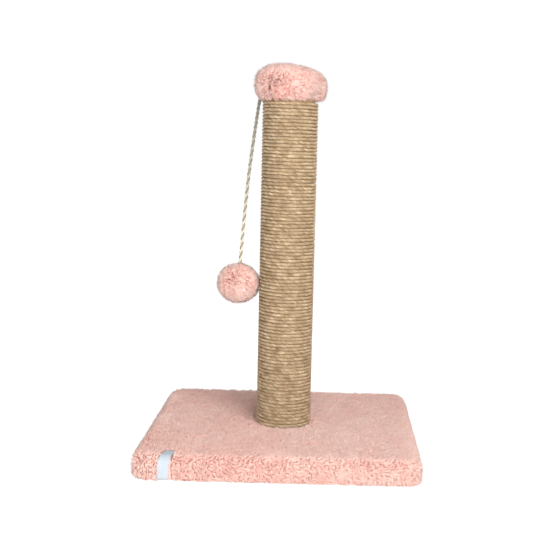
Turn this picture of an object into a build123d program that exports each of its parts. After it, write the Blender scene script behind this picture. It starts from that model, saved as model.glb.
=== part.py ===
from build123d import *
import math
import os

os.makedirs("parts", exist_ok=True)

# A cat scratching post, in millimetres. +Z is up and -Y is the front.
# The origin is the middle of the underside, where the base stands on the floor.

# Base
base_width = 400.0
base_height = 36.0
cover_corner = 24.0
cover_shoulder = 14.0
cover_hem = 5.0
cover_lift = 0.5
pile = 10.0
board_width = base_width - 2 * pile
board_thickness = 22.0
board_corner = 12.0
underlay_width = 372.0
underlay_thickness = 1.5
underlay_corner = 16.0
underlay_hole = 36.0
underlay_clearance = 0.2
fold_thickness = 2.0
fold_reach = 40.0
mitre_gap = 0.8
mitre_length = 1.3 * fold_reach
board_bottom = underlay_thickness + fold_thickness
board_top = board_bottom + board_thickness
pressed_pile = 2.0

# Post
post_foot = board_top + pressed_pile
tube_length = 510.0
tube_radius = 36.5
tube_wall = 4.5
tube_top = post_foot + tube_length
bore_radius = tube_radius - tube_wall
plug_clearance = 0.1
bottom_plug_thickness = 18.0
top_plug_thickness = 15.0

# Rope: the wound turns at the foot are one tube, and the turns above them are a plain sleeve.
rope_width = 4.66
rope_pitch = 5.13
rope_radius = 39.2
rope_turns = 18
rope_sides = 4
rope_gap = rope_pitch - rope_width
rope_outside = 41.5
rope_inside = tube_radius + 0.1
rope_foot_gap = 0.5
rope_foot = post_foot + rope_foot_gap
rope_top = 524.5
foot_recess_radius = 42.1

# Bolt that clamps the post to the base
bolt_radius = 3.95
bolt_length = 35.0
bolt_head_radius = 8.0
bolt_head_height = 3.5
bolt_socket = 5.0
bolt_socket_depth = 2.4
bolt_hole_radius = 4.5
washer_radius = 13.0
washer_hole_radius = 4.2
washer_thickness = 1.6
counterbore_radius = 15.0
counterbore_depth = 8.0
nut_flange_radius = 11.0
nut_flange_thickness = 1.5
nut_barrel_radius = 5.0
nut_barrel_length = 12.0
nut_bore_radius = 4.05
prong_width = 3.0
prong_length = 6.0
prong_thickness = 1.0
prong_radius = 8.5

# Staples
staple_wire = 0.7
staple_crown = 11.0
staple_leg = 8.0
staples_per_side = 4
staple_spacing = 85.0
plug_staple_leg = 14.0
plug_staple_sink = 0.5
plug_staples_each = 4
top_plug_staple_height = 527.0
rope_staple_crown = 8.0
rope_staple_leg = 9.0
rope_staple_sink = 0.1
rope_staple_height = 517.5
cap_staple_crown = 9.0
cap_staple_leg = 9.0
cap_staple_count = 6
cap_staple_height = 533.5
cap_staple_reach = 37.7
toy_staple_crown = 6.6
toy_staple_leg = 12.0
toy_staple_height = 531.0
toy_staple_reach = 45.2

# Cap
cap_top = 580.0
cap_hem = 525.0
cap_sides = 24
cap_gather = 0.8

# Hanging toy
cord_diameter = 4.5
cord_pivot = (-46.6, 0.0, 521.0)
cord_joint_gap = 0.15
cord_sides = 10
cord_clearance = 0.1
cord_tail_top = (-39.5, 0.0, 536.0)
cord_tail_end_gap = 0.2
cord_bend_share = 0.45
neck_steps = 5
knot_radius = 5.0
knot_steps = 4
ball_centre = (-73.2, 0.0, 248.0)
ball_radius = 31.0
ball_half_height = 28.5
ball_sides = 20
ball_steps = 9

# Ribbon label
ribbon_width = 16.0
ribbon_thickness = 0.8
ribbon_x = -155.4
ribbon_sink = 0.4
ribbon_reach = 34.0
ribbon_tuck = 7.0


def save(name, shape):
    """Write one piece to a file under its own name."""
    export_step(shape, f"parts/{name}.step")


def slab(width, thickness, corner, bottom):
    """A flat square piece with rounded corners, its underside at the height given."""
    return extrude(Pos(0, 0, bottom) * RectangleRounded(width, width, corner), thickness)


def disc(radius, thickness, bottom):
    """A round piece on the post's axis, its underside at the height given."""
    return Pos(0, 0, bottom + thickness / 2) * Cylinder(radius, thickness)


def staple(crown, leg):
    """A wire staple: crown along X with its back at Z 0, legs down -Z."""
    back = Pos(0, 0, -staple_wire / 2) * Box(crown, staple_wire, staple_wire)
    legs = [
        Pos(side * (crown - staple_wire) / 2, 0, -leg / 2) * Box(staple_wire, staple_wire, leg)
        for side in (-1, 1)
    ]
    return back + legs[0] + legs[1]


def radial(angle, radius, height, piece, upright=True):
    """Set a piece into the post's side: its -Z end points at the post's axis."""
    a = math.radians(angle)
    outward = Vector(math.cos(a), math.sin(a), 0)
    along = Vector(0, 0, 1) if upright else Vector(-math.sin(a), math.cos(a), 0)
    place = Plane(origin=outward * radius + Vector(0, 0, height), x_dir=along, z_dir=outward)
    return place.location * piece


def ring(radius, height, sides, shift=0.0, gather=0.0):
    """The corners of a level ring, drawn in at every second corner by the gather."""
    corners = []
    for corner in range(sides):
        a = 2 * math.pi * corner / sides
        reach = radius + (gather if corner % 2 else -gather)
        corners.append(Vector(shift + reach * math.cos(a), reach * math.sin(a), height))
    return corners


def facet_body(rings):
    """A closed soft form of flat facets between level rings with the same number of corners."""
    outlines = [rings[0], rings[-1]]
    for low, high in zip(rings, rings[1:]):
        for corner in range(len(low)):
            after = (corner + 1) % len(low)
            a, b, c, d = low[corner], low[after], high[after], high[corner]
            if abs((b - a).cross(c - a).dot(d - a)) < 1e-6:
                outlines.append([a, b, c, d])
            else:
                outlines += [[a, b, c], [a, c, d]]
    faces = [make_face(Polyline(*corners, close=True)).face() for corners in outlines]
    return Solid(Shell(faces))


def square_ring(width, corner_radius, height, steps=4):
    """The corners of a level square ring whose rounded corners are in short straight steps."""
    middle = width / 2 - corner_radius
    corners = []
    for quarter in range(4):
        for step in range(steps + 1):
            a = math.radians(90 * (quarter + step / steps))
            across = math.copysign(middle, math.cos(math.radians(45 + 90 * quarter)))
            along = math.copysign(middle, math.sin(math.radians(45 + 90 * quarter)))
            reach = (corner_radius * math.cos(a), corner_radius * math.sin(a))
            corners.append(Vector(across + reach[0], along + reach[1], height))
    return corners


def ball(radius, half_height, sides, steps, cut=75):
    """A round body of flat facets, flat at both ends beyond the cut angle."""
    rings = []
    for step in range(steps + 1):
        a = math.radians(cut * (2 * step / steps - 1))
        rings.append(ring(radius * math.cos(a), half_height * math.sin(a), sides))
    return facet_body(rings)


def biarc(start, start_way, end, end_way):
    """Two arcs that join two points, each tangent to the way given there."""
    chord = end - start
    both = start_way + end_way
    spread = 2 * (1 - start_way.dot(end_way))
    run = chord.dot(both)
    reach = (math.sqrt(run * run + spread * chord.dot(chord)) - run) / spread
    first_corner = start + start_way * reach
    last_corner = end - end_way * reach
    middle = (first_corner + last_corner) * 0.5
    first = TangentArc(start, middle, tangent=start_way)
    second = TangentArc(middle, end, tangent=last_corner - first_corner)
    return [first, second]


# Base board: chipboard with the bolt's hole and its recess below.

board = slab(board_width, board_thickness, board_corner, board_bottom)
board -= disc(bolt_hole_radius, board_thickness, board_bottom)
board -= disc(counterbore_radius, counterbore_depth, board_bottom)

# Staples that hold the folded edge of the plush to the underside of the board.

fold_line = board_width / 2 - fold_reach / 2
base_staples = []
for side in range(4):
    for index in range(staples_per_side):
        offset = (index - (staples_per_side - 1) / 2) * staple_spacing
        place = Rot(0, 0, 90 * side) * Pos(offset, -fold_line, underlay_thickness) * Rot(180, 0, 0)
        base_staples.append(place * staple(staple_crown, staple_leg))
base_staples = Compound(base_staples)

# Plush cover: pulled over the board, folded under it, and pressed flat under the post.
# Its first rings round the hem at the floor, and the others round the shoulder.

cover_rings = []
for angle in (-90, -45, 0):
    a = math.radians(angle)
    inset = cover_hem * (1 - math.cos(a))
    height = cover_lift + cover_hem * (1 + math.sin(a))
    cover_rings.append(square_ring(base_width - 2 * inset, cover_corner - inset, height))
for angle in (0, 22.5, 45, 67.5, 90):
    a = math.radians(angle)
    inset = cover_shoulder * (1 - math.cos(a))
    height = base_height - cover_shoulder * (1 - math.sin(a))
    cover_rings.append(square_ring(base_width - 2 * inset, cover_corner - inset, height))
cover = facet_body(cover_rings)
cover -= slab(board_width, board_thickness, board_corner, board_bottom)
cover -= slab(board_width - 2 * fold_reach, board_bottom, board_corner, 0)
cover -= slab(underlay_width + 2 * underlay_clearance, underlay_thickness, underlay_corner, 0)
cover -= disc(foot_recess_radius, base_height, post_foot)
cover -= disc(bolt_hole_radius, base_height, board_top)
for corner in range(4):
    mitre = Box(mitre_length, mitre_gap, fold_thickness)
    place = Rot(0, 0, 45 + 90 * corner) * Pos(fold_line * math.sqrt(2), 0, board_bottom - fold_thickness / 2)
    cover -= place * mitre

# Ribbon label: one strip from under the front edge, up the front and over the shoulder.

front = -base_width / 2 + ribbon_sink + ribbon_thickness / 2
level = base_height - ribbon_sink - ribbon_thickness / 2
low = cover_lift + ribbon_sink + ribbon_thickness / 2
shoulder = cover_shoulder - ribbon_sink - ribbon_thickness / 2
heel = cover_hem - ribbon_sink - ribbon_thickness / 2
ribbon_path = FilletPolyline(
    (ribbon_x, front + heel + ribbon_tuck, low),
    (ribbon_x, front, low),
    (ribbon_x, front, level),
    (ribbon_x, -base_width / 2 + ribbon_reach, level),
    radius=[heel, shoulder],
)
ribbon_end = Plane(origin=ribbon_path @ 0, x_dir=(1, 0, 0), z_dir=ribbon_path % 0)
ribbon = sweep(ribbon_end * Rectangle(ribbon_width, ribbon_thickness), ribbon_path)
cover -= ribbon

# Felt underlay, with a round window for the bolt.

underlay = slab(underlay_width, underlay_thickness, underlay_corner, 0)
underlay -= disc(underlay_hole / 2, underlay_thickness, 0)

# Cardboard tube with a chipboard plug in each end.

tube = disc(tube_radius, tube_length, post_foot) - disc(bore_radius, tube_length, post_foot)
plug_radius = bore_radius - plug_clearance
bottom_plug = disc(plug_radius, bottom_plug_thickness, post_foot)
top_plug = disc(plug_radius, top_plug_thickness, tube_top - top_plug_thickness)

# Pronged nut on the bottom plug, washer and socket-head bolt from below.

nut_seat = post_foot + bottom_plug_thickness
tee_nut = disc(nut_flange_radius, nut_flange_thickness, nut_seat)
tee_nut += disc(nut_barrel_radius, nut_barrel_length, nut_seat - nut_barrel_length)
tee_nut -= disc(nut_bore_radius, nut_barrel_length + nut_flange_thickness, nut_seat - nut_barrel_length)
prong = extrude(
    make_face(Polyline((-prong_width / 2, 0), (prong_width / 2, 0), (0, -prong_length), close=True)),
    prong_thickness,
)
for quarter in range(4):
    a = math.radians(45 + 90 * quarter)
    outward = Vector(math.cos(a), math.sin(a), 0)
    along = Vector(-math.sin(a), math.cos(a), 0)
    place = Plane(origin=outward * prong_radius + Vector(0, 0, nut_seat), x_dir=along, z_dir=outward)
    tee_nut += place.location * prong
bottom_plug -= disc(nut_barrel_radius + plug_clearance, bottom_plug_thickness, post_foot)

washer_seat = board_bottom + counterbore_depth
washer_bottom = washer_seat - washer_thickness
washer = disc(washer_radius, washer_thickness, washer_bottom)
washer -= disc(washer_hole_radius, washer_thickness, washer_bottom)
bolt_head = disc(bolt_head_radius, bolt_head_height, washer_bottom - bolt_head_height)
shank = disc(bolt_radius, bolt_length, washer_bottom)
hexagon = RegularPolygon(bolt_socket / math.sqrt(3), 6)
socket = extrude(Pos(0, 0, washer_bottom - bolt_head_height) * hexagon, bolt_socket_depth)
bolt = bolt_head + shank - socket

# Staples through the tube into both plugs.

plug_staple = staple(staple_crown, plug_staple_leg)
plug_staple_radius = tube_radius - plug_staple_sink
bottom_plug_staple_height = post_foot + bottom_plug_thickness / 2
plug_staple_angles = [360 / plug_staples_each * (index + 0.5) for index in range(plug_staples_each)]
bottom_plug_staples = Compound([
    radial(angle, plug_staple_radius, bottom_plug_staple_height, plug_staple) for angle in plug_staple_angles
])
top_plug_staples = Compound([
    radial(angle, plug_staple_radius, top_plug_staple_height, plug_staple, upright=False)
    for angle in plug_staple_angles
])

# Rope: the turns at the foot, in one tube along a rising path of arcs.


def rope_point(turn):
    """The middle of the rope after a number of turns, and the way it runs there."""
    a = 2 * math.pi * turn
    rise = rope_pitch / (2 * math.pi * rope_radius)
    middle = Vector(rope_radius * math.cos(a), rope_radius * math.sin(a), 0)
    middle += Vector(0, 0, rope_foot + rope_width / 2 + rope_pitch * turn)
    way = Vector(-math.sin(a), math.cos(a), rise).normalized()
    return middle, way


first_point, first_way = rope_point(0)
last_point, last_way = rope_point(rope_turns)
runs = [Line(first_point - first_way * rope_width, first_point)]
for half in range(2 * rope_turns):
    runs += biarc(*rope_point(half / 2), *rope_point((half + 1) / 2))
runs.append(Line(last_point, last_point + last_way * rope_width))
turns_path = Wire(runs)

rope_section = RegularPolygon(rope_width / 2, rope_sides)
rope_end = Plane(origin=turns_path @ 0, x_dir=(1, 0, 0), z_dir=turns_path % 0)
turns = sweep(rope_end * rope_section, turns_path)

# The rest of the winding, up to the cap, is a plain sleeve as thick as the rope.
sleeve_bottom = rope_point(rope_turns)[0].Z + rope_width / 2 + rope_gap
sleeve = disc(rope_outside, rope_top - sleeve_bottom, sleeve_bottom)
sleeve -= disc(rope_inside, rope_top - sleeve_bottom, sleeve_bottom)
rope_winding = Compound([turns.solid(), sleeve.solid()])

# One staple holds the rope's end, at the back.
rope_staple = staple(rope_staple_crown, rope_staple_leg)
rope_staple = radial(90, rope_outside - rope_staple_sink, rope_staple_height, rope_staple)

# Cap: a wadding dome on the tube's top, and plush drawn over it and stapled round the tube.

cap_rings = [
    # radius, height, shift along X, share of the gather
    (46.2, cap_hem, 0.0, 1.0),
    (49.6, cap_hem + 6, 0.0, 1.0),
    (52.0, cap_hem + 13, 0.0, 0.6),
    (52.9, cap_hem + 22, 0.0, 0.2),
    (52.6, cap_hem + 31, -0.3, 0.0),
    (50.6, cap_hem + 38, -0.8, 0.0),
    (45.6, cap_hem + 44.5, -2.2, 0.0),
    (36.0, cap_hem + 50, -4.6, 0.0),
    (21.0, cap_hem + 53.8, -7.4, 0.0),
    (7.0, cap_top, -9.0, 0.0),
]
dome_rings = [
    (tube_radius - 0.2, tube_top),
    (41.5, tube_top + 5),
    (42.8, tube_top + 11),
    (41.6, tube_top + 19),
    (36.0, tube_top + 25),
    (24.0, tube_top + 30),
    (9.0, tube_top + 32.5),
]
cap = facet_body([
    ring(radius, height, cap_sides, shift, cap_gather * drawn)
    for radius, height, shift, drawn in cap_rings
])
padding = facet_body([ring(radius, height, cap_sides) for radius, height in dome_rings])
tube_hole = ring((tube_radius + plug_clearance) / math.cos(math.pi / cap_sides), cap_hem, cap_sides)
cap -= padding
cap -= facet_body([tube_hole, [corner + Vector(0, 0, tube_top - cap_hem) for corner in tube_hole]])

cap_staple = staple(cap_staple_crown, cap_staple_leg)
cap_staple_angles = [360 / cap_staple_count * (index + 0.5) for index in range(cap_staple_count)]
cap_staples = Compound([
    radial(angle, cap_staple_reach, cap_staple_height, cap_staple, upright=False)
    for angle in cap_staple_angles
])

# Cord: a tail stapled to the tube, a short bending neck at the hem, and the hanging stretch.

pivot = Vector(cord_pivot)
cord_radius = cord_diameter / 2
neck_clear = cord_radius + cord_joint_gap
cord_section = RegularPolygon(cord_radius, cord_sides)


def cord_tube(path):
    """A cord along a path."""
    end = Plane(origin=path @ 0, x_dir=(0, 1, 0), z_dir=path % 0)
    return sweep(end * cord_section, path)


tail_top = Vector(cord_tail_top)
tail_way = (tail_top - pivot).normalized()
cord_tail = cord_tube(Line(tail_top, pivot + tail_way * neck_clear))
cap -= cord_tube(Line(tail_top + tail_way * cord_tail_end_gap, pivot))
toy_staple = staple(toy_staple_crown, toy_staple_leg)
toy_staple = radial(180, toy_staple_reach, toy_staple_height, toy_staple, upright=False)

cord_neck = Pos(*cord_pivot) * ball(cord_radius, cord_radius, cord_sides, neck_steps)

cord_route = [
    cord_pivot,
    (-54.2, 0.0, 465.0),
    (-60.6, 0.0, 410.0),
    (-65.4, 0.0, 355.0),
    (-69.6, 0.0, 300.0),
    ball_centre,
]
route = [Vector(point) for point in cord_route]
route[0] = pivot + (route[1] - pivot).normalized() * neck_clear
bend_radii = []
for index in range(1, len(route) - 1):
    before = route[index] - route[index - 1]
    after = route[index + 1] - route[index]
    turn = math.radians(before.get_angle(after))
    bend_radii.append(cord_bend_share * min(before.length, after.length) / math.tan(turn / 2))
cord_path = FilletPolyline(*route, radius=bend_radii)
toy_cord = cord_tube(cord_path)

# Pompom: a plush ball on the cord's end, held by a knot at its middle.

ball_way = (route[-2] - route[-1]).normalized()
ball_place = Plane(origin=route[-1], x_dir=(0, 1, 0), z_dir=ball_way).location
knot = ball_place * ball(knot_radius, knot_radius, cord_sides, knot_steps)
cord_hole = ball_place * extrude(RegularPolygon(cord_radius + cord_clearance, cord_sides), ball_half_height)
pompom = ball_place * ball(ball_radius, ball_half_height, ball_sides, ball_steps) - knot - cord_hole
knot -= cord_hole

pieces = {
    "base_board": board,
    "base_cover": cover,
    "base_underlay": underlay,
    "base_staples": base_staples,
    "label_ribbon": ribbon,
    "post_tube": tube,
    "bottom_plug": bottom_plug,
    "bottom_plug_staples": bottom_plug_staples,
    "tee_nut": tee_nut,
    "base_washer": washer,
    "base_bolt": bolt,
    "rope_winding": rope_winding,
    "rope_staple": rope_staple,
    "top_plug": top_plug,
    "top_plug_staples": top_plug_staples,
    "cap_padding": padding,
    "cap_cover": cap,
    "cap_staples": cap_staples,
    "toy_staple": toy_staple,
    "cord_tail": cord_tail,
    "cord_neck": cord_neck,
    "toy_cord": toy_cord,
    "cord_knot": knot,
    "toy_pompom": pompom,
}
for name, shape in pieces.items():
    save(name, shape)

# Sizes that prove the wound and hanging forms.

samples = 48
points = [turns_path @ (index / samples / rope_turns) for index in range(rope_turns * samples + 1)]
least = min(
    (points[index + lag] - points[index]).length
    for index in range(len(points) - 2 * samples)
    for lag in range(samples // 2, 2 * samples)
)
print("rope: least gap of the turns to themselves", round(least - rope_width, 2), "mm")
print("cord: bend radii", [round(radius) for radius in bend_radii], "mm")
cord_volume = cord_section.area * cord_path.length
print("cord: volume", round(toy_cord.volume), "and section times length", round(cord_volume))
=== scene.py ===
import bpy
import math
import numpy as np
from mathutils import Matrix, Vector


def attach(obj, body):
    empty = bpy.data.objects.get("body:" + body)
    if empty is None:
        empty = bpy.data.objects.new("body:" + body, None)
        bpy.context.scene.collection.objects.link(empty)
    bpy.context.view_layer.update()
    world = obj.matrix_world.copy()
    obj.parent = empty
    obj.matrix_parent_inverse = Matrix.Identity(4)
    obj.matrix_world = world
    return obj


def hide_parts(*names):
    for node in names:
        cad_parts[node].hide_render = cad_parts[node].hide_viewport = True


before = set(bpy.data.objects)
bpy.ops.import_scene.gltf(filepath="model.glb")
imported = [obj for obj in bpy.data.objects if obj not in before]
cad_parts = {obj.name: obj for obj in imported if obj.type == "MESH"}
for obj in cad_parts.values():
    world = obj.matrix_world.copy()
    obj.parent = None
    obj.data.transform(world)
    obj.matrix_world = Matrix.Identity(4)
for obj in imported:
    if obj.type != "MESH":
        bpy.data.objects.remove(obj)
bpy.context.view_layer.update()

# Camera and studio: the camera stands a little right of the post's middle and looks down on the base.
# Its view is shifted sideways, to frame the object as the photograph does.

view_settings = bpy.context.scene.view_settings
view_settings.view_transform = "Standard"

camera_place = (0.061765, -1.594919, 0.4731)
camera_yaw, camera_pitch, camera_roll = 0.013, 0.130, 0.030
camera_pixels = 1058.1
picture_width = 550

forward = Vector((
    math.sin(camera_yaw) * math.cos(camera_pitch),
    math.cos(camera_yaw) * math.cos(camera_pitch),
    -math.sin(camera_pitch),
))
level = Vector((math.cos(camera_yaw), -math.sin(camera_yaw), 0))
upright = level.cross(forward)
right = math.cos(camera_roll) * level + math.sin(camera_roll) * upright
up = -math.sin(camera_roll) * level + math.cos(camera_roll) * upright
camera = bpy.data.objects.new("camera", bpy.data.cameras.new("camera"))
camera.data.sensor_width = 36
camera.data.lens = 36 * camera_pixels / picture_width
camera.data.shift_x = -0.12
camera.data.clip_start = 0.01
camera.matrix_world = Matrix.Translation(camera_place) @ Matrix((right, up, -forward)).transposed().to_4x4()
bpy.context.scene.collection.objects.link(camera)
bpy.context.scene.camera = camera


class Value:
    """A socket in a tree of nodes. Sums and products of values add the Math nodes that work them out."""

    def __init__(self, tree, socket=None):
        self.tree = tree
        self.socket = socket

    def node(self, kind, settings=None, inputs=None, output=0):
        """Add a node: its settings come first, then the values or links of its sockets."""
        made = self.tree.nodes.new(kind)
        for name, value in (settings or {}).items():
            if name == "stops":
                for stop, (place, colour) in enumerate(value):
                    while len(made.color_ramp.elements) <= stop:
                        made.color_ramp.elements.new(1.0)
                    made.color_ramp.elements[stop].position = place
                    made.color_ramp.elements[stop].color = (*colour, 1)
            else:
                setattr(made, name, value)
        for name, value in (inputs or {}).items():
            if isinstance(value, Value):
                self.tree.links.new(value.socket, made.inputs[name])
            else:
                made.inputs[name].default_value = value
        return Value(self.tree, made.outputs[output] if len(made.outputs) else None)

    def other(self, output):
        """Another output of the node that this value comes from."""
        return Value(self.tree, self.socket.node.outputs[output])

    def math(self, operation, *values):
        return self.node("ShaderNodeMath", {"operation": operation}, dict(enumerate(values)))

    def vector(self, operation, *values):
        return self.node("ShaderNodeVectorMath", {"operation": operation}, dict(enumerate(values)))

    def xyz(self, x, y, z):
        return self.node("ShaderNodeCombineXYZ", None, {0: x, 1: y, 2: z})

    def split(self):
        """This vector's X, whose other outputs are Y and Z."""
        return self.node("ShaderNodeSeparateXYZ", None, {0: self})

    def scaled(self, factor):
        """This vector, made longer or shorter."""
        return self.node("ShaderNodeVectorMath", {"operation": "SCALE"}, {0: self, "Scale": factor})

    def random(self, low, high, seed):
        """A random number for each element."""
        ends = {2: low, 3: high, "Seed": seed}
        return self.node("FunctionNodeRandomValue", {"data_type": "FLOAT"}, ends, 1)

    def mix(self, share, first, second):
        """A colour between two others."""
        colours = [(*c, 1) if isinstance(c, tuple) else c for c in (first, second)]
        settings = {"data_type": "RGBA"}
        return self.node("ShaderNodeMix", settings, {0: share, 6: colours[0], 7: colours[1]}, 2)

    def range(self, low, high, to_low=0.0, to_high=1.0):
        """This value, stretched from one range to another and kept in it."""
        ends = {1: low, 2: high, 3: to_low, 4: to_high}
        return self.node("ShaderNodeMapRange", {"clamp": True}, {0: self, **ends})

    def noise(self, scale, detail=3.0, rough=0.5):
        """Noise that follows this vector."""
        sizes = {"Vector": self, "Scale": scale, "Detail": detail, "Roughness": rough}
        return self.node("ShaderNodeTexNoise", None, sizes)

    def __add__(self, other):
        return self.math("ADD", self, other)

    def __sub__(self, other):
        return self.math("SUBTRACT", self, other)

    def __rsub__(self, other):
        return self.math("SUBTRACT", other, self)

    def __mul__(self, other):
        return self.math("MULTIPLY", self, other)

    def __truediv__(self, other):
        return self.math("DIVIDE", self, other)

    __radd__ = __add__
    __rmul__ = __mul__


floor_finish = bpy.data.materials.new("studio_floor")
floor_finish.use_nodes = True
floor_tree = floor_finish.node_tree
floor_tree.nodes.clear()
paper = Value(floor_tree)
light_path = paper.node("ShaderNodeLightPath")
seen = light_path.math(
    "MAXIMUM",
    light_path.other("Is Camera Ray"),
    light_path.math("MAXIMUM", light_path.other("Is Glossy Ray"), light_path.other("Is Transmission Ray")),
)
paper_white = (0.90, 0.90, 0.90, 1)
diffuse = paper.node("ShaderNodeBsdfDiffuse", None, {"Color": paper_white})
paper_glow = 0.54
glow = paper.node("ShaderNodeEmission", None, {"Color": (1, 1, 1, 1), "Strength": seen * paper_glow})
floor_shader = paper.node("ShaderNodeAddShader", None, {0: diffuse, 1: glow})
paper.node("ShaderNodeOutputMaterial", None, {"Surface": floor_shader})
floor_half = 6.0
floor_mesh = bpy.data.meshes.new("studio_floor")
floor_mesh.from_pydata(
    [(x * floor_half, y * floor_half, 0) for x, y in ((-1, -1), (1, -1), (1, 1), (-1, 1))], [], [(0, 1, 2, 3)]
)
floor_mesh.materials.append(floor_finish)
floor = bpy.data.objects.new("studio_floor", floor_mesh)
bpy.context.scene.collection.objects.link(floor)

world = bpy.data.worlds.new("studio")
world.use_nodes = True
bpy.context.scene.world = world
world.node_tree.nodes.clear()
room = Value(world.node_tree)
room_path = room.node("ShaderNodeLightPath")
room_seen = room_path.math(
    "MAXIMUM",
    room_path.other("Is Camera Ray"),
    room_path.math("MAXIMUM", room_path.other("Is Glossy Ray"), room_path.other("Is Transmission Ray")),
)
room_light = 0.54
room_strength = room_light + room_seen * (1.0 - room_light)
room_back = room.node("ShaderNodeBackground", None, {"Color": (1, 1, 1, 1), "Strength": room_strength})
room.node("ShaderNodeOutputWorld", None, {"Surface": room_back})


def lamp(name, place, target, size, power):
    """A large soft lamp that points at a target."""
    light = bpy.data.lights.new(name, "AREA")
    light.shape = "DISK"
    light.size = size
    light.energy = power
    stand = bpy.data.objects.new(name, light)
    way = Vector(target) - Vector(place)
    stand.matrix_world = Matrix.Translation(place) @ way.to_track_quat("-Z", "Y").to_matrix().to_4x4()
    bpy.context.scene.collection.objects.link(stand)


lamp("key_lamp", place=(1.0, -2.2, 1.2), target=(0, 0, 0.25), size=1.8, power=49)
lamp("front_lamp", place=(-0.1, -1.8, 0.45), target=(0, 0, 0.1), size=0.8, power=16)

# Cord of the hanging toy: a two-ply twisted cord. Its tail is stapled to the tube under the cap,
# it bends at the cap's hem, and it ends in a knot in the middle of the pompom.

cord_bend_point = (-0.0466, 0.0, 0.521)
cord_tail_top = (-0.0395, 0.0, 0.536)
cord_points = [
    cord_bend_point,
    (-0.0542, 0.0, 0.465),
    (-0.0606, 0.0, 0.410),
    (-0.0654, 0.0, 0.355),
    (-0.0696, 0.0, 0.300),
    (-0.0732, 0.0, 0.248),
]


def new_piece(name, mesh, finish=None):
    """Put a mesh in the scene as a piece at the origin."""
    mesh.name = name
    piece = bpy.data.objects.new(name, mesh)
    bpy.context.scene.collection.objects.link(piece)
    if finish is not None:
        mesh.materials.clear()
        mesh.materials.append(finish)
    return piece


def nurbs(name, points):
    """A smooth open curve led by a few points."""
    data = bpy.data.curves.new(name, "CURVE")
    data.dimensions = "3D"
    data.resolution_u = 12
    spline = data.splines.new("NURBS")
    spline.points.add(len(points) - 1)
    for spot, point in zip(spline.points, points):
        spot.co = (*point, 1)
    spline.order_u = 3
    spline.use_endpoint_u = True
    curve = bpy.data.objects.new(name, data)
    bpy.context.scene.collection.objects.link(curve)
    return curve


def line_of(curve):
    """The points down the middle of a curve."""
    bare = bpy.data.meshes.new_from_object(curve)
    points = [tuple(vertex.co) for vertex in bare.vertices]
    bpy.data.meshes.remove(bare)
    return points


def new_tree(name, inputs):
    """A tree of geometry nodes with named inputs; it returns the tree and its inputs as values."""
    tree = bpy.data.node_groups.new(name, "GeometryNodeTree")
    tree.interface.new_socket("Geometry", in_out="OUTPUT", socket_type="NodeSocketGeometry")
    tree.interface.new_socket("Geometry", in_out="INPUT", socket_type="NodeSocketGeometry")
    for label, kind in inputs.items():
        tree.interface.new_socket(label, in_out="INPUT", socket_type="NodeSocket" + kind)
    start = Value(tree).node("NodeGroupInput")
    return tree, {label: start.other(label) for label in ["Geometry", *inputs]}


def end_tree(geometry, finish):
    """Close a tree of geometry nodes with its material."""
    real = geometry.node("GeometryNodeRealizeInstances", None, {0: geometry})
    done = real.node("GeometryNodeSetMaterial", None, {"Geometry": real, "Material": finish})
    done.node("NodeGroupOutput", None, {0: done})


def grow(name, source, tree, sizes):
    """Run a tree on a source object and keep the result as a new piece with a plain mesh."""
    worker = bpy.data.objects.new("worker", source.data)
    bpy.context.scene.collection.objects.link(worker)
    modifier = worker.modifiers.new("nodes", "NODES")
    modifier.node_group = tree
    labels = {item.name: item.identifier for item in tree.interface.items_tree if item.in_out == "INPUT"}
    for label, value in sizes.items():
        modifier[labels[label]] = value
    graph = bpy.context.evaluated_depsgraph_get()
    grown = worker.evaluated_get(graph)
    mesh = bpy.data.meshes.new_from_object(grown, preserve_all_data_layers=True, depsgraph=graph)
    worker.modifiers.remove(modifier)
    bpy.data.objects.remove(worker)
    return new_piece(name, mesh)


def new_finish(name, constants):
    """A material, its shader with constants set on the sockets, and the object's own coordinates."""
    finish = bpy.data.materials.new(name)
    finish.use_nodes = True
    shader = finish.node_tree.nodes["Principled BSDF"]
    for label, value in constants.items():
        shader.inputs[label].default_value = value
    place = Value(finish.node_tree).node("ShaderNodeTexCoord").other("Object")
    return finish, shader, place


def attribute(value, name, output="Fac"):
    """A value that the mesh carries on its points."""
    return value.node("ShaderNodeAttribute", {"attribute_name": name}).other(output)


def join(shader, label, value):
    """Lead a value into one of a shader's sockets."""
    value.tree.links.new(value.socket, shader.inputs[label])


def bump(shader, height, distance):
    """Lead a height into a shader as relief."""
    join(shader, "Normal", height.node("ShaderNodeBump", None, {"Height": height, "Distance": distance}))


# Laid rope: strands that turn about the line of a curve. The cord has two and the post's rope has three.
# Each strand counts its length from a mark of its own, so that no two strands share a pattern.
strand_mark = 40.0
lay_tree, lay = new_tree("laid_rope", {
    "Strands": "Int", "Strand Radius": "Float", "Strand Offset": "Float", "Lay Length": "Float",
    "Step": "Float", "Sides": "Int", "Start": "Float", "Wander": "Float", "Wander Length": "Float",
    "Finish": "Material",
})
track = lay["Geometry"]
track = track.node("GeometryNodeResampleCurve", {"mode": "LENGTH"}, {"Curve": track, "Length": lay["Step"]})
copies = track.node(
    "GeometryNodeDuplicateElements", {"domain": "SPLINE"}, {"Geometry": track, "Amount": lay["Strands"]}
)
along = copies.node("GeometryNodeSplineParameter").other("Length") + lay["Start"]
strand_number = copies.other("Duplicate Index")
way = copies.node("GeometryNodeInputTangent")
side = copies.node("GeometryNodeInputNormal").other("Normal")
third = way.vector("CROSS_PRODUCT", way, side)
spin = (along / lay["Lay Length"] + strand_number / lay["Strands"]) * math.tau
side_share = side.scaled(spin.math("COSINE", spin))
third_share = third.scaled(spin.math("SINE", spin))
out_from_line = side.vector("ADD", side_share, third_share).scaled(lay["Strand Offset"])
drift_place = along / lay["Wander Length"]
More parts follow.
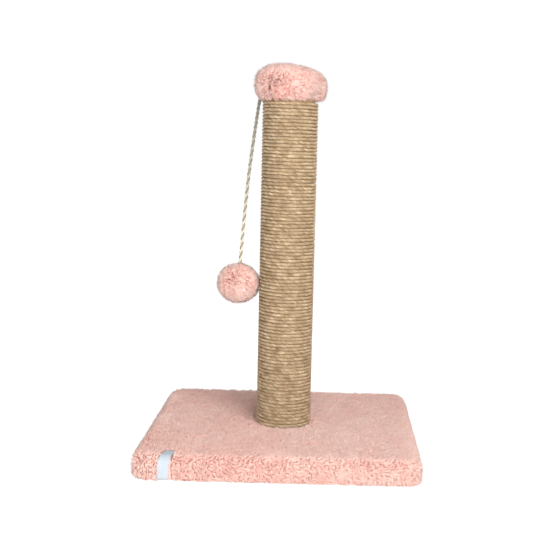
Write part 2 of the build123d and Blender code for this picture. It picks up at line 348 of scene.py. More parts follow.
drift = along.node("ShaderNodeTexNoise", {"noise_dimensions": "1D"}, {"W": drift_place, "Scale": 1.0})
drift = along.xyz(0.0, 0.0, (drift - 0.5) * lay["Wander"])
strand_shift = out_from_line.vector("ADD", out_from_line, drift)
strands = copies.node("GeometryNodeSetPosition", None, {"Geometry": copies, "Offset": strand_shift})
strands = strands.node(
    "GeometryNodeStoreNamedAttribute", {"data_type": "FLOAT", "domain": "POINT"},
    {"Geometry": strands, "Name": "along", "Value": along + strand_number * strand_mark},
)
profile = track.node(
    "GeometryNodeCurvePrimitiveCircle", {"mode": "RADIUS"},
    {"Resolution": lay["Sides"], "Radius": lay["Strand Radius"]},
)
profile = profile.node(
    "GeometryNodeStoreNamedAttribute", {"data_type": "FLOAT_VECTOR", "domain": "POINT"},
    {"Geometry": profile, "Name": "section", "Value": profile.node("GeometryNodeInputPosition")},
)
yarn = strands.node(
    "GeometryNodeCurveToMesh", None, {"Curve": strands, "Profile Curve": profile, "Fill Caps": True}
)
yarn = yarn.node("GeometryNodeSetShadeSmooth", None, {"Geometry": yarn})
end_tree(yarn, lay["Finish"])

cord_finish, cord_shader, cord_place = new_finish("twisted_cord", {
    "Roughness": 0.9, "Specular IOR Level": 0.15,
})
cord_height = cord_place.split().other("Z")
cord_along = attribute(cord_place, "along")
cord_across = attribute(cord_place, "section", "Vector").split()
cord_fibre = cord_place.xyz(cord_along * 260.0, cord_across * 2600.0, 0.0).noise(1.0, 2.0)
# Painted shade from the cap, with dust: the cord's colour turns grey towards its top, under the cap.
cord_shade_and_dust = (cord_height + cord_place.noise(60.0) * 0.03).range(0.34, 0.52)
cord_ply = cord_along.range(strand_mark / 2 - 1, strand_mark / 2 + 1)
cord_colour = cord_place.mix(cord_fibre * 0.4 + cord_ply * 0.7, (0.22, 0.18, 0.125), (0.74, 0.67, 0.52))
join(cord_shader, "Base Color", cord_place.mix(cord_shade_and_dust * 0.85, cord_colour, (0.20, 0.185, 0.15)))
bump(cord_shader, cord_fibre, 0.0004)

cord_lay = 0.014
ply_sizes = {
    "Strands": 2, "Strand Radius": 0.00142, "Strand Offset": 0.00122, "Lay Length": cord_lay,
    "Step": cord_lay / 20, "Sides": 10, "Start": 0.0, "Wander": 0.0, "Wander Length": 1.0,
    "Finish": cord_finish,
}


def cord_run(name, points, start):
    """A run of the cord along a few points: the piece and the points down its middle."""
    curve = nurbs(name + "_line", points)
    line = line_of(curve)
    piece = grow(name, curve, lay_tree, {**ply_sizes, "Start": start})
    bpy.data.objects.remove(curve)
    return piece, line


toy_cord, toy_cord_line = cord_run("toy_cord_yarn", cord_points, 0.0)
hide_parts("toy_cord")
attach(toy_cord, "toy")

tail_points = [cord_tail_top, (-0.0432, 0.0, 0.5283), cord_bend_point]
tail, _ = cord_run("cord_tail_yarn", tail_points, 0.002)
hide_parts("cord_tail")
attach(tail, "post_and_base")

neck_points = [(-0.0457, 0.0, 0.5229), cord_bend_point, (-0.0469, 0.0, 0.5188)]
neck, _ = cord_run("cord_neck_yarn", neck_points, 0.004)
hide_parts("cord_neck")
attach(neck, "cord_bend")

# Knot on the cord's end: the cord passed through its own loop and drawn tight.
# It is hidden in the middle of the pompom, which is tied round it.

knot_middle = Vector(cord_points[-1])
knot_size = 0.00115
knot_steps = 48
knot_loop = []
for step in range(knot_steps + 1):
    angle = math.tau * step / knot_steps
    loop = Vector((
        math.sin(angle) + 2 * math.sin(2 * angle),
        math.cos(angle) - 2 * math.cos(2 * angle),
        -math.sin(3 * angle),
    ))
    knot_loop.append(tuple(knot_middle + knot_size * loop))
knot_curve = nurbs("knot_line", knot_loop)
knot_ply_radius, knot_ply_offset = 0.0009, 0.0005
knot_ply = {**ply_sizes, "Strand Radius": knot_ply_radius, "Strand Offset": knot_ply_offset}
knot = grow("cord_knot_yarn", knot_curve, lay_tree, knot_ply)
bpy.data.objects.remove(knot_curve)
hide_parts("cord_knot")
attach(knot, "toy")

# Rope winding: three-strand jute rope wound tightly round the tube from its foot to the cap.
# It is glued as it is wound, so its turns lie side by side and rise by one rope's width each.

rope_radius = 0.0392
rope_pitch = 0.00513
rope_first = 0.0306
rope_lay = 0.0165
rope_parts = 4
turns_per_part = 24
last_part_turns = 23.7
points_per_turn = 96
strand_radius, strand_offset = 0.00117, 0.00139
rope_wander, wander_length = 0.0015, 0.11
# The lowest turns lie a little wider, where the winding meets the base.
rope_flare = 0.0009
flare_full, flare_gone = 0.030, 0.048
rope_turn_length = math.hypot(math.tau * rope_radius, rope_pitch)

rope_finish, rope_shader, rope_place = new_finish("jute_rope", {"Roughness": 0.82, "Specular IOR Level": 0.2})
rope_across = attribute(rope_place, "section", "Vector").split()
rope_along = attribute(rope_place, "along")
rope_fibre = rope_place.xyz(
    rope_along * 220.0, rope_across * 3600.0, rope_across.other("Y") * 3600.0,
).noise(1.0, 3.0)
rope_patch = rope_place.noise(55.0, 4.0, 0.6)
rope_run_tone = rope_place.xyz(rope_along * 60.0, 0.0, 0.0).noise(1.0, 2.0)
rope_tone = rope_fibre * 0.45 + rope_patch * 0.2 + rope_run_tone * 0.6 - 0.05
rope_colour = rope_place.node("ShaderNodeValToRGB", {"stops": [
    (0.40, (0.20, 0.125, 0.06)),
    (0.52, (0.39, 0.265, 0.15)),
    (0.62, (0.56, 0.415, 0.26)),
    (0.74, (0.82, 0.67, 0.47)),
]}, {"Fac": rope_tone})
join(rope_shader, "Base Color", rope_colour)
bump(rope_shader, rope_fibre, 0.0006)

spiral_tree, spiral = new_tree("rope_spiral", {
    "Turns": "Float", "Points": "Int", "Radius": "Float", "Rise": "Float", "Start": "Float", "Flare": "Float",
})
helix = spiral["Geometry"].node("GeometryNodeCurveSpiral", None, {
    "Resolution": spiral["Points"], "Rotations": spiral["Turns"], "Start Radius": spiral["Radius"],
    "End Radius": spiral["Radius"], "Height": spiral["Turns"] * spiral["Rise"],
})
helix_place = helix.node("GeometryNodeInputPosition")
helix_height = helix_place.split().other("Z")
foot_flare = (helix_height + spiral["Start"]).range(flare_full, flare_gone, 1.0, 0.0) * spiral["Flare"]
flat_way = helix_place.vector("NORMALIZE", helix_place.vector("MULTIPLY", helix_place, (1, 1, 0)))
flared = flat_way.scaled(foot_flare)
helix = helix.node("GeometryNodeSetPosition", None, {
    "Geometry": helix, "Offset": flared.vector("ADD", flared, flared.xyz(0.0, 0.0, spiral["Start"])),
})
helix.node("NodeGroupOutput", None, {0: helix})

wound_tree, wound = new_tree("wound_rope", {
    "Turns": "Float", "Points": "Int", "Radius": "Float", "Rise": "Float", "Start": "Float", "Flare": "Float",
    "Strand Radius": "Float", "Strand Offset": "Float", "Lay Length": "Float", "Step": "Float",
    "Along": "Float", "Wander": "Float", "Finish": "Material",
})
turn_inputs = {label: wound[label] for label in ("Turns", "Points", "Radius", "Rise", "Start", "Flare")}
coil = wound["Geometry"].node("GeometryNodeGroup", {"node_tree": spiral_tree}, turn_inputs)
rope_inputs = {label: wound[label] for label in (
    "Strand Radius", "Strand Offset", "Lay Length", "Step", "Wander", "Finish"
)}
rope = coil.node("GeometryNodeGroup", {"node_tree": lay_tree}, {
    "Geometry": coil, "Strands": 3, "Sides": 5, "Start": wound["Along"], "Wander Length": wander_length,
    **rope_inputs,
})
end_tree(rope, wound["Finish"])

empty_source = new_piece("empty_source", bpy.data.meshes.new("empty_source"))
rope_pieces = []
for number in range(rope_parts):
    first_turn = number * turns_per_part
    turns = turns_per_part if number < rope_parts - 1 else last_part_turns
    winding = grow(f"rope_turns_{number + 1}", empty_source, wound_tree, {
        "Turns": float(turns), "Points": points_per_turn, "Radius": rope_radius, "Rise": rope_pitch,
        "Start": rope_first + rope_pitch * first_turn, "Flare": rope_flare, "Strand Radius": strand_radius,
        "Strand Offset": strand_offset, "Lay Length": rope_lay, "Step": rope_lay / 12,
        "Along": rope_turn_length * first_turn, "Wander": rope_wander, "Finish": rope_finish,
    })
    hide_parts("rope_winding")
    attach(winding, "post_and_base")
    rope_pieces.append(winding)
bpy.data.objects.remove(empty_source)

# Base cover: long-pile plush pulled over the board and stapled under it. The ground cloth and the
# foot of its pile are one closed sheet, and the pile's tufts stand on it.

# The root colour is painted shade: the roots are darker where the pile shades itself.
plush_root_shade = (0.72, 0.32, 0.27)
plush_middle = (0.94, 0.58, 0.50)
plush_tip = (1.0, 0.75, 0.67)


def plush_finish(name, streaks):
    """Brushed plush: painted shade darkens the roots, pale at the tips, streaked lock by lock and patchy with
    its nap.
    """
    finish, shader, place = new_finish(name, {
        "Roughness": 0.95, "Specular IOR Level": 0.1, "Sheen Weight": 0.25, "Sheen Roughness": 0.6,
    })
    tip = attribute(place, "tip")
    tuft = attribute(place, "tuft")
    patch = place.noise(14.0, 3.0, 0.55)
    share = (tip - 0.5) * 0.55 + (tuft - 0.5) * streaks + patch * 0.80 + 0.08
    colour = place.node("ShaderNodeValToRGB", {"stops": [
        (0.0, plush_root_shade), (0.45, plush_middle), (1.0, plush_tip),
    ]}, {"Fac": share})
    join(shader, "Base Color", colour)
    bump(shader, place.noise(900.0, 2.0), 0.0006)
    return finish


cover_plush = plush_finish("base_plush", 0.5)

# Plush pile: pointed tufts that stand on a cloth where its pile value is set. They draw together in clumps,
# lean with the nap, and are combed along the cloth.
shortest_tuft, tallest_tuft = 0.7, 1.15
tuft_belly = 2.4
own_lean = 0.14
pile_tree, pile = new_tree("plush_pile", {
    "Density": "Float", "Seed": "Int", "Length": "Float", "Width": "Float", "Clump Size": "Float",
    "Gather": "Float", "Lean": "Float", "Nap Size": "Float", "Curl": "Float", "Comb": "Vector",
    "Floor": "Float", "Bare Low": "Vector", "Bare High": "Vector", "Finish": "Material",
})
grown = pile["Geometry"].node(
    "GeometryNodeInputNamedAttribute", {"data_type": "FLOAT"}, {"Name": "pile"}
)
scatter = grown.node("GeometryNodeDistributePointsOnFaces", {"distribute_method": "RANDOM"}, {
    "Mesh": pile["Geometry"], "Density": pile["Density"] * grown, "Seed": pile["Seed"],
})
spot = scatter.node("GeometryNodeInputPosition")
inside = []
for edge, way_in in (("Bare Low", 1.0), ("Bare High", -1.0)):
    parts = spot.vector("SUBTRACT", spot, pile[edge]).split()
    inside += [parts.math("GREATER_THAN", parts.other(axis) * way_in, 0.0) for axis in "XYZ"]
bare = inside[0]
for part in inside[1:]:
    bare = bare * part
kept = scatter.node(
    "GeometryNodeDeleteGeometry", {"domain": "POINT"}, {"Geometry": scatter, "Selection": bare}
)
clump = spot.node("ShaderNodeTexVoronoi", None, {
    "Vector": spot, "Scale": spot.math("DIVIDE", 1.0, pile["Clump Size"]),
})
clump_tone = clump.other("Color").split()
own_tone = spot.random(0.0, 1.0, pile["Seed"])
kept = kept.node("GeometryNodeStoreNamedAttribute", {"data_type": "FLOAT", "domain": "POINT"}, {
    "Geometry": kept, "Name": "tuft", "Value": clump_tone * 0.6 + own_tone * 0.4,
})
pull = clump.vector("SUBTRACT", clump.other("Position"), spot)
pull = pull.scaled(pile["Gather"] / pile["Length"])
nap = spot.node("ShaderNodeTexNoise", None, {
    "Vector": spot, "Scale": spot.math("DIVIDE", 1.0, pile["Nap Size"]), "Detail": 1.0,
}).other("Color")
nap = nap.vector("SUBTRACT", nap, (0.5, 0.5, 0.5)).scaled(pile["Lean"])
own = spot.node("FunctionNodeRandomValue", {"data_type": "FLOAT_VECTOR"}, {
    "Min": (-own_lean, -own_lean, -own_lean), "Max": (own_lean, own_lean, own_lean), "Seed": pile["Seed"],
})
stand = scatter.other("Normal")
into_cloth = stand.node("ShaderNodeVectorMath", {"operation": "DOT_PRODUCT"}, {0: pile["Comb"], 1: stand}, 1)
combed = stand.vector("SUBTRACT", pile["Comb"], stand.scaled(into_cloth))
for part in (pull, nap, own, combed):
    stand = stand.vector("ADD", stand, part)
turned = stand.node("FunctionNodeAlignRotationToVector", {"axis": "Z"}, {"Vector": stand})
own_spin = stand.node("FunctionNodeAxisAngleToRotation", None, {
    "Axis": (0, 0, 1), "Angle": stand.random(0.0, math.tau, pile["Seed"]),
})
spun = stand.node("FunctionNodeRotateRotation", {"rotation_space": "LOCAL"}, {0: turned, 1: own_spin})
tall = spot.random(shortest_tuft, tallest_tuft, pile["Seed"] + 7.0)
tuft = spot.node("GeometryNodeMeshCone", {"fill_type": "NGON"}, {
    "Vertices": 3, "Side Segments": 2, "Fill Segments": 1,
    "Radius Top": 0.0, "Radius Bottom": 1.0, "Depth": 1.0,
})
tuft_place = tuft.node("GeometryNodeInputPosition")
tuft_tip = tuft_place.split().other("Z")
tuft = tuft.node("GeometryNodeStoreNamedAttribute", {"data_type": "FLOAT", "domain": "POINT"}, {
    "Geometry": tuft, "Name": "tip", "Value": tuft_tip,
})
fuller = (1.0 - tuft_tip) * tuft_tip * tuft_belly + 1.0
fuller = tuft_place.vector("MULTIPLY", tuft_place, tuft_place.xyz(fuller, fuller, 1.0))
curled = tuft_place.xyz(tuft_tip * tuft_tip * pile["Curl"], 0.0, 0.0)
tuft = tuft.node("GeometryNodeSetPosition", None, {
    "Geometry": tuft, "Position": fuller.vector("ADD", fuller, curled),
})
tufts = kept.node("GeometryNodeInstanceOnPoints", None, {
    "Points": kept, "Instance": tuft, "Rotation": spun,
    "Scale": spot.xyz(pile["Width"], pile["Width"], pile["Length"] * tall),
})
tufts = tufts.node("GeometryNodeRealizeInstances", None, {0: tufts})
end_split = tufts.node("GeometryNodeInputPosition").split()
lying = end_split.math("MAXIMUM", end_split.other("Z"), pile["Floor"])
tufts = tufts.node("GeometryNodeSetPosition", None, {
    "Geometry": tufts, "Position": end_split.xyz(end_split, end_split.other("Y"), lying),
})
tufts = tufts.node("GeometryNodeSetShadeSmooth", None, {"Geometry": tufts})
end_tree(tufts, pile["Finish"])


def lofted(name, rings, pile_values, looped):
    """A closed piece through rings of points: looped back on itself, or closed by a point at each end."""
    count = len(rings[0])
    points = [tuple(point) for one_ring in rings for point in one_ring]
    faces = []
    for row in range(len(rings) if looped else len(rings) - 1):
        after = (row + 1) % len(rings)
        for column in range(count):
            beside = (column + 1) % count
            here, above = row * count, after * count
            faces.append((here + column, here + beside, above + beside, above + column))
    values = [value for value in pile_values for _ in range(count)]
    if not looped:
        for row, turn in ((0, -1), (len(rings) - 1, 1)):
            points.append(tuple(np.mean(rings[row], axis=0)))
            values.append(pile_values[row])
            for column in range(count):
                edge = (row * count + column, row * count + (column + 1) % count)
                faces.append((*edge[::turn], len(points) - 1))
    mesh = bpy.data.meshes.new(name)
    mesh.from_pydata(points, [], faces)
    mesh.attributes.new("pile", "FLOAT", "POINT").data.foreach_set("value", values)
    # The cloth takes a tip value of 0.4, a little into the painted shade of the roots.
    for label in ("tip", "tuft"):
        mesh.attributes.new(label, "FLOAT", "POINT").data.foreach_set("value", [0.4] * len(points))
    mesh.shade_smooth()
    return new_piece(name, mesh)


# The pile's ground: a cloth that is lumpy where its pile value is set, with one level of subdivision.
ground_tree, ground = new_tree("plush_ground", {"Height": "Float", "Size": "Float", "Finish": "Material"})
fine = ground["Geometry"].node("GeometryNodeSubdivisionSurface", None, {
    "Mesh": ground["Geometry"], "Level": 1,
})
fine_place = fine.node("GeometryNodeInputPosition")
lumps = fine_place.node("ShaderNodeTexNoise", None, {
    "Vector": fine_place, "Scale": fine_place.math("DIVIDE", 1.0, ground["Size"]), "Detail": 2.0,
})
lumps = (lumps - 0.5) * ground["Height"] * fine.node(
    "GeometryNodeInputNamedAttribute", {"data_type": "FLOAT"}, {"Name": "pile"}
)
outward = fine.node("GeometryNodeInputNormal")
fine = fine.node("GeometryNodeSetPosition", None, {"Geometry": fine, "Offset": outward.scaled(lumps)})
fine = fine.node("GeometryNodeSetShadeSmooth", None, {"Geometry": fine})
end_tree(fine, ground["Finish"])


def square_reach(angle, half, corner):
    """How far a square with rounded corners reaches from its middle at an angle."""
    turned = abs((angle + math.pi / 4) % (math.pi / 2) - math.pi / 4)
    middle = half - corner
    if half * math.tan(turned) <= middle:
        return half / math.cos(turned)
    both = math.cos(turned) + math.sin(turned)
    under_root = middle * middle * both * both - 2 * middle * middle + corner * corner
    return middle * both + math.sqrt(max(under_root, 0))


cover_columns = 320
board_half = 0.190
cover_half = 0.1955
cover_top = 0.0308
cover_low = 0.0009
cover_corner = 0.0195
cover_shoulder = 0.0095
cover_hem = 0.003
foot_radius = 0.0424
fold_end = 0.150
fold_under = 0.0018
felt_edge, felt_corner = 0.1862, 0.016
board_low, board_middle, board_top = 0.0034, 0.0150, 0.0256
board_corner = 0.012
pressed_top = 0.0277
bolt_hole = 0.0046
# half width, corner radius, height, share of the pile
cover_profile = [
    (fold_end, board_corner, fold_under, 0),
    (0.168, board_corner, fold_under, 0),
    (felt_edge, felt_corner, fold_under, 0),
    (felt_edge + 0.0002, felt_corner, cover_low, 0),
]
for step in range(4):
    angle = math.radians(-90 + 30 * step)
    inset = cover_hem * (1 - math.cos(angle))
    height = cover_low + cover_hem * (1 + math.sin(angle))
    cover_profile.append((cover_half - inset, cover_corner - inset, height, step / 4))
for step in range(1, 5):
    height = cover_low + cover_hem + (cover_top - cover_shoulder - cover_low - cover_hem) * step / 5
    cover_profile.append((cover_half, cover_corner, height, 1))
for step in range(7):
    angle = math.radians(15 * step)
    inset = cover_shoulder * (1 - math.cos(angle))
    height = cover_top - cover_shoulder * (1 - math.sin(angle))
    cover_profile.append((cover_half - inset, cover_corner - inset, height, 1))
top_rings = 34
top_half = cover_half - cover_shoulder
for step in range(1, top_rings + 1):
    share = step / top_rings
    half = top_half + (foot_radius - top_half) * share
    corner = cover_corner - cover_shoulder
    cover_profile.append((half, corner + (half - corner) * share ** 2, cover_top, 1))
cover_profile += [
    (foot_radius - 0.0002, foot_radius - 0.0002, pressed_top, 0),
    (0.020, 0.020, pressed_top, 0),
    (bolt_hole, bolt_hole, pressed_top, 0),
    (bolt_hole, bolt_hole, board_top, 0),
    (0.020, 0.020, board_top, 0),
    (0.100, 0.060, board_top, 0),
    (board_half, board_corner, board_top, 0),
    (board_half + 0.0002, board_corner + 0.0002, board_middle, 0),
    (board_half, board_corner, board_low, 0),
    (fold_end, board_corner, board_low, 0),
]
cover_rings = []
for half, corner, height, _ in cover_profile:
    angles = [math.tau * (column + 0.5) / cover_columns for column in range(cover_columns)]
    reaches = [square_reach(angle, half, corner) for angle in angles]
    cover_rings.append([(r * math.cos(a), r * math.sin(a), height) for a, r in zip(angles, reaches)])
cover_cloth = lofted("cover_cloth", cover_rings, [value for *_, value in cover_profile], True)
cover = grow("base_cover_ground", cover_cloth, ground_tree, {
    "Height": 0.0022, "Size": 0.011, "Finish": cover_plush,
})
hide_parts("base_cover")
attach(cover, "post_and_base")

cover_locks = {
    "Density": 88000.0, "Length": 0.0078, "Width": 0.0011, "Clump Size": 0.007, "Gather": 0.3, "Lean": 1.5,
    "Nap Size": 0.011, "Curl": 1.0,
}
cover_fibres = {
    "Density": 98000.0, "Length": 0.0078, "Width": 0.0006, "Clump Size": 0.004, "Gather": 0.5, "Lean": 1.7,
    "Nap Size": 0.014, "Curl": 3.0,
}
for number in range(5):
    tufts = grow(f"base_cover_pile_{number + 1}", cover, pile_tree, {
        **(cover_locks if number < 3 else cover_fibres), "Seed": 11 + number, "Comb": (0.9, -0.1, -0.5),
        "Floor": 0.0003, "Bare Low": (-0.1640, -0.25, -0.01), "Bare High": (-0.1450, -0.165, 0.06),
        "Finish": cover_plush,
    })
    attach(tufts, "post_and_base")
bpy.data.objects.remove(cover_cloth)

# Loose fibres on the rope: ends of jute that stand off the strands once the rope is wound.
# They are short and thin, and grow on the strands as the plush's tufts grow on their cloth.

for number, winding in enumerate(rope_pieces):
    everywhere = [1.0] * len(winding.data.vertices)
    winding.data.attributes.new("pile", "FLOAT", "POINT").data.foreach_set("value", everywhere)
    hairs = grow(f"rope_hairs_{number + 1}", winding, pile_tree, {
        "Density": 8000.0, "Seed": 21 + number, "Length": 0.0042, "Width": 0.00007, "Clump Size": 0.01,
        "Gather": 0.0, "Lean": 3.5, "Nap Size": 0.004, "Curl": 9.0, "Finish": rope_finish,
    })
    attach(hairs, "post_and_base")

# Ribbon label: a bare strip of satin from under the front edge, up the front and over the shoulder.
# It lies on the pile, and its loose end leans to the right.

ribbon_width = 0.0158
ribbon_thickness = 0.0007
ribbon_x = -0.1554
ribbon_front = -0.1990
ribbon_low, ribbon_level = 0.0011, 0.0343
ribbon_tuck = 0.007
ribbon_heel, ribbon_shoulder = 0.0045, 0.0155
ribbon_flap, ribbon_dip = 0.0170, 0.0002
ribbon_lean, ribbon_lean_start = 0.0075, 0.028
ribbon_wave = 0.00035
ribbon_outline = [(ribbon_front + ribbon_heel + ribbon_tuck, ribbon_low)]
for step in range(7):
    angle = math.radians(15 * step)
    ribbon_outline.append((
        ribbon_front + ribbon_heel * (1 - math.sin(angle)),
        ribbon_low + ribbon_heel * (1 - math.cos(angle)),
    ))
for step in range(11):
    angle = math.radians(9 * step)
    ribbon_outline.append((
        ribbon_front + ribbon_shoulder * (1 - math.cos(angle)),
        ribbon_level - ribbon_shoulder * (1 - math.sin(angle)),
    ))
for step in range(1, 9):
    ribbon_outline.append((
        ribbon_front + ribbon_shoulder + ribbon_flap * step / 8, ribbon_level - ribbon_dip * step / 8,
    ))
ribbon_columns = 12
ribbon_points, ribbon_faces, ribbon_across = [], [], []
ribbon_run = [0.0]
for before, after in zip(ribbon_outline, ribbon_outline[1:]):
    ribbon_run.append(ribbon_run[-1] + math.dist(before, after))
for (y, z), run in zip(ribbon_outline, ribbon_run):
    lean_share = max(0.0, (run - ribbon_lean_start) / (ribbon_run[-1] - ribbon_lean_start))
    lean = ribbon_lean * lean_share ** 1.2
    for column in range(ribbon_columns + 1):
        across = column / ribbon_columns - 0.5
        wave = ribbon_wave * math.sin(run * 160 + across * 3) * (1 - 2 * abs(across))
        ribbon_points.append((ribbon_x + lean + across * ribbon_width, y - wave, z + wave))
        ribbon_across.append((across * ribbon_width, run, 0.0))
for row in range(len(ribbon_outline) - 1):
    for column in range(ribbon_columns):
        corner = row * (ribbon_columns + 1) + column
        ribbon_faces.append((corner, corner + 1, corner + ribbon_columns + 2, corner + ribbon_columns + 1))
ribbon_mesh = bpy.data.meshes.new("ribbon")
ribbon_mesh.from_pydata(ribbon_points, [], ribbon_faces)
woven_places = ribbon_mesh.attributes.new("woven", "FLOAT_VECTOR", "POINT")
woven_places.data.foreach_set("vector", np.ravel(ribbon_across))
ribbon_mesh.shade_smooth()
satin, satin_shader, satin_place = new_finish("satin_ribbon", {"Roughness": 0.42, "Specular IOR Level": 0.4})
woven = attribute(satin_place, "woven", "Vector")
woven_split = woven.split()
thread = 0.0005
warp = woven.math("SINE", woven_split * (math.tau / thread))
weft = woven.math("SINE", woven_split.other("Y") * (math.tau / thread))
selvedge_inner, selvedge_outer = 0.0068, 0.0074
selvedge = woven.math("ABSOLUTE", woven_split).range(selvedge_inner, selvedge_outer)
satin_tone = satin_place.noise(90.0, 2.0) * 0.5 + warp * 0.06 + weft * 0.04 + selvedge * 0.3
join(satin_shader, "Base Color", satin_place.mix(satin_tone, (0.42, 0.485, 0.54), (0.55, 0.60, 0.64)))
bump(satin_shader, warp * 0.5 + weft * 0.5, 0.00006)
ribbon = new_piece("ribbon_strip", ribbon_mesh, satin)
solidify = ribbon.modifiers.new("thickness", "SOLIDIFY")
solidify.thickness = ribbon_thickness
solidify.offset = -1
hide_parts("label_ribbon")
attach(ribbon, "post_and_base")

# Felt underlay: a thin needled felt that closes the base's underside, with a round window for the bolt.
# It is glued over the cover's folded edges and their staples.

underlay_half, underlay_corner, underlay_hole = 0.186, 0.016, 0.018
underlay_thickness = 0.0015
underlay_round, hole_round = 0.0004, 0.0002
underlay_columns = 192
# half width, corner radius, height
underlay_profile = [
    (underlay_hole, underlay_hole, hole_round),
    (0.06, 0.05, 0.0),
    (0.12, 0.03, 0.0),
    (underlay_half - underlay_round, underlay_corner, 0.0),
    (underlay_half, underlay_corner, underlay_round),
    (underlay_half, underlay_corner, underlay_thickness - underlay_round),
    (underlay_half - underlay_round, underlay_corner, underlay_thickness),
    (0.12, 0.03, underlay_thickness),
    (0.06, 0.05, underlay_thickness),
    (underlay_hole, underlay_hole, underlay_thickness - hole_round),
]
underlay_rings = []
for half, corner, height in underlay_profile:
    angles = [math.tau * column / underlay_columns for column in range(underlay_columns)]
    reaches = [square_reach(angle, half, corner) for angle in angles]
    underlay_rings.append([(r * math.cos(a), r * math.sin(a), height) for a, r in zip(angles, reaches)])
felt, felt_shader, felt_place = new_finish("needled_felt", {"Roughness": 1.0, "Specular IOR Level": 0.1})
felt_fibre = felt_place.noise(420.0, 4.0, 0.7)
join(felt_shader, "Base Color", felt_place.mix(felt_fibre, (0.035, 0.035, 0.038), (0.14, 0.14, 0.15)))
bump(felt_shader, felt_fibre, 0.0005)
underlay = lofted("underlay_felt", underlay_rings, [0.0] * len(underlay_rings), True)
underlay.data.materials.append(felt)
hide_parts("base_underlay")
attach(underlay, "post_and_base")

# Cap: plush gathered over a wadding dome, with its folds running up from the hem.
# The gathered edge is stapled round the tube, out of sight under the pile.

cap_plush = plush_finish("cap_plush", 1.5)
cap_columns = 224
cap_profile = [
    # radius, height, shift along X, depth of the folds, share of the pile
    (0.0010, 0.5378, 0.0, 0.0, 0),
    (0.0366, 0.5378, 0.0, 0.0, 0),
    (0.0367, 0.5320, 0.0, 0.0, 0),
    (0.0372, 0.5265, 0.0, 0.0, 0),
    (0.0398, 0.5270, 0.0, 0.2, 0),
    (0.0416, 0.5294, 0.0, 0.8, 0.6),
    (0.0430, 0.5322, 0.0, 1.0, 1),
    (0.0442, 0.5354, 0.0, 1.0, 1),
    (0.0453, 0.5390, 0.0, 0.8, 1),
    (0.0461, 0.5428, 0.0, 0.6, 1),
    (0.0465, 0.5466, -0.0001, 0.4, 1),
    (0.0460, 0.5507, -0.0003, 0.25, 1),
    (0.0447, 0.5546, -0.0006, 0.15, 1),
    (0.0422, 0.5582, -0.0012, 0.1, 1),
    (0.0386, 0.5614, -0.0022, 0.1, 1),
    (0.0338, 0.5642, -0.0036, 0.1, 1),
    (0.0277, 0.5667, -0.0052, 0.1, 1),
    (0.0205, 0.5687, -0.0068, 0.1, 1),
    (0.0122, 0.5700, -0.0080, 0.1, 1),
    (0.0050, 0.5705, -0.0086, 0.0, 1),
]
cap_fold_random = np.random.default_rng(4)
fold_depth = 0.0011
fold_counts = (3, 7, 11, 16, 23, 31)
fold_waves = [
    (count, fold_depth / (1 + 0.05 * count), cap_fold_random.uniform(0, math.tau)) for count in fold_counts
]
cap_rings = []
for radius, height, shift, folded, _ in cap_profile:
    cap_ring = []
    for column in range(cap_columns):
        angle = math.tau * column / cap_columns
        fold = sum(depth * math.sin(count * angle + start) for count, depth, start in fold_waves)
        reach = radius + fold * folded
        cap_ring.append((shift + reach * math.cos(angle), reach * math.sin(angle), height))
    cap_rings.append(cap_ring)
cap_cloth = lofted("cap_cloth", cap_rings, [value for *_, value in cap_profile], False)
cap = grow("cap_ground", cap_cloth, ground_tree, {"Height": 0.003, "Size": 0.013, "Finish": cap_plush})
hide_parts("cap_cover", "cap_padding")
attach(cap, "post_and_base")
cap_locks = {
    "Density": 560000.0, "Length": 0.0098, "Width": 0.0011, "Clump Size": 0.0034,
    "Gather": 0.5, "Lean": 0.8, "Curl": 0.6,
}
cap_fibres = {
    "Density": 640000.0, "Length": 0.0098, "Width": 0.0005, "Clump Size": 0.0055,
    "Gather": 0.4, "Lean": 1.6, "Curl": 2.0,
}
for number, sizes in enumerate((cap_locks, cap_fibres)):
    cap_pile = grow(f"cap_pile_{number + 1}", cap, pile_tree, {
        **sizes, "Nap Size": 0.012, "Seed": 31 + number, "Comb": (0.9, 0.0, -0.45), "Floor": 0.5212,
        "Finish": cap_plush,
    })
    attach(cap_pile, "post_and_base")
bpy.data.objects.remove(cap_cloth)

# Pompom: a ball of thick plush yarn tufts, trimmed round.
# They are tied together at the middle, round the cord's knot.

pompom_plush = plush_finish("pompom_plush", 1.4)
pompom_middle = cord_points[-1]
pompom_core = (0.0252, 0.0229)
pompom_columns, pompom_rows = 64, 33
pompom_rings = []
for row in range(1, pompom_rows):
    tilt = math.pi * (row / pompom_rows - 0.5)
    pompom_rings.append([(
        pompom_middle[0] + pompom_core[0] * math.cos(tilt) * math.cos(math.tau * column / pompom_columns),
        pompom_middle[1] + pompom_core[0] * math.cos(tilt) * math.sin(math.tau * column / pompom_columns),
        pompom_middle[2] + pompom_core[1] * math.sin(tilt),
    ) for column in range(pompom_columns)])
pompom_cloth = lofted("pompom_cloth", pompom_rings, [1.0] * len(pompom_rings), False)
pompom = grow("pompom_core", pompom_cloth, ground_tree, {
    "Height": 0.003, "Size": 0.009, "Finish": pompom_plush,
})
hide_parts("toy_pompom")
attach(pompom, "toy")
pompom_locks = {
    "Density": 700000.0, "Length": 0.0086, "Width": 0.0011, "Clump Size": 0.0032,
    "Gather": 0.55, "Lean": 0.35, "Curl": 0.4,
}
pompom_fibres = {
    "Density": 800000.0, "Length": 0.0084, "Width": 0.0005, "Clump Size": 0.0032,
    "Gather": 0.3, "Lean": 0.9, "Curl": 1.5,
}
for number, sizes in enumerate((pompom_locks, pompom_fibres)):
    pompom_pile = grow(f"pompom_tufts_{number + 1}", pompom, pile_tree, {
        **sizes, "Nap Size": 0.012, "Comb": (0.3, 0.0, -0.25), "Seed": 41 + number, "Finish": pompom_plush,
    })
    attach(pompom_pile, "toy")
bpy.data.objects.remove(pompom_cloth)

# Base board and plugs: pressed wood chips, sawn on the edges.
# The bolt clamps the bottom plug to the board, and staples hold both plugs in the tube.


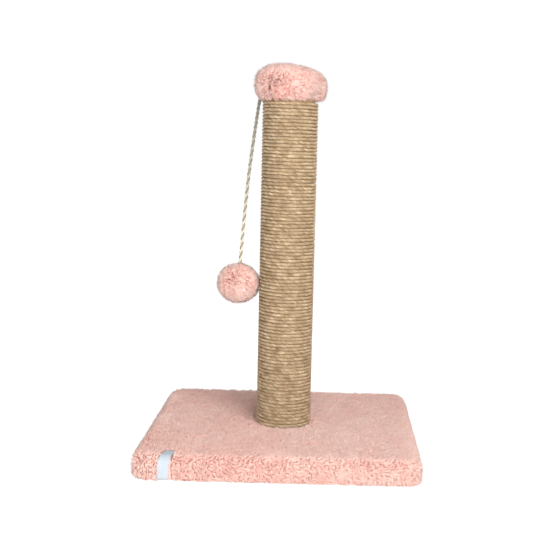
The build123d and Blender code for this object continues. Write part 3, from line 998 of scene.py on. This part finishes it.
def dress(finish, *nodes):
    """Give CAD pieces their finish."""
    for node in nodes:
        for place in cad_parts[node].material_slots:
            place.material = finish


chipboard, chip_shader, chip_place = new_finish("chipboard", {"Roughness": 0.8, "Specular IOR Level": 0.2})
chips = chip_place.node("ShaderNodeTexVoronoi", None, {
    "Vector": chip_place.vector("MULTIPLY", chip_place, (1.0, 1.0, 2.2)), "Scale": 210.0,
})
chip_tone = chips.other("Color").split()
join(chip_shader, "Base Color", chip_place.mix(
    chip_tone * 0.6 + chip_place.noise(700.0) * 0.4, (0.36, 0.24, 0.13), (0.66, 0.49, 0.30)
))
bump(chip_shader, chips, 0.0003)
dress(chipboard, "base_board", "bottom_plug", "top_plug")

# Tube: kraft board wound on a slant and glued, with a fine seam where each strip meets the next.
# The rope is glued round it, and a plug closes each of its ends.

cardboard, board_shader, board_place = new_finish("kraft_tube", {
    "Roughness": 0.75, "Specular IOR Level": 0.2,
})
board_split = board_place.split()
board_angle = board_split.math("ARCTAN2", board_split.other("Y"), board_split)
strip_width = 0.09
strip_turns = board_split.other("Z") / strip_width + board_angle / math.tau
seam = strip_turns.math("FRACT", strip_turns).range(0.0, 0.012, 1.0, 0.0)
board_fibre = board_place.vector("MULTIPLY", board_place, (1.0, 1.0, 0.3)).noise(520.0, 4.0, 0.7)
board_colour = board_place.mix(board_fibre, (0.36, 0.235, 0.13), (0.56, 0.40, 0.25))
join(board_shader, "Base Color", board_place.mix(seam * 0.7, board_colour, (0.16, 0.10, 0.05)))
bump(board_shader, board_fibre * 0.3 - seam, 0.0004)
dress(cardboard, "post_tube")

# Fastenings: zinc-plated nut, washer and bolt, and staples of galvanised wire.
# The bolt draws the post onto the base. The staples hold the cover, the plugs, the cap, the rope
# and the cord.

zinc, zinc_shader, zinc_place = new_finish("zinc_plate", {"Roughness": 0.35, "Metallic": 1.0})
zinc_bloom = zinc_place.noise(300.0, 4.0, 0.6)
join(zinc_shader, "Base Color", zinc_place.mix(zinc_bloom, (0.50, 0.52, 0.55), (0.74, 0.75, 0.77)))
join(zinc_shader, "Roughness", zinc_bloom.range(0.3, 0.7, 0.25, 0.5))
bump(zinc_shader, zinc_place.noise(1500.0), 0.00005)
dress(zinc, "tee_nut", "base_washer", "base_bolt")
wire, wire_shader, wire_place = new_finish("staple_wire", {"Roughness": 0.4, "Metallic": 1.0})
wire_drawn = wire_place.vector("MULTIPLY", wire_place, (1.0, 1.0, 4.0)).noise(900.0, 2.0)
join(wire_shader, "Base Color", wire_place.mix(wire_drawn, (0.46, 0.46, 0.47), (0.68, 0.68, 0.69)))
join(wire_shader, "Roughness", wire_drawn.range(0.3, 0.7, 0.3, 0.55))
dress(
    wire, "base_staples", "bottom_plug_staples", "top_plug_staples", "cap_staples", "rope_staple",
    "toy_staple",
)
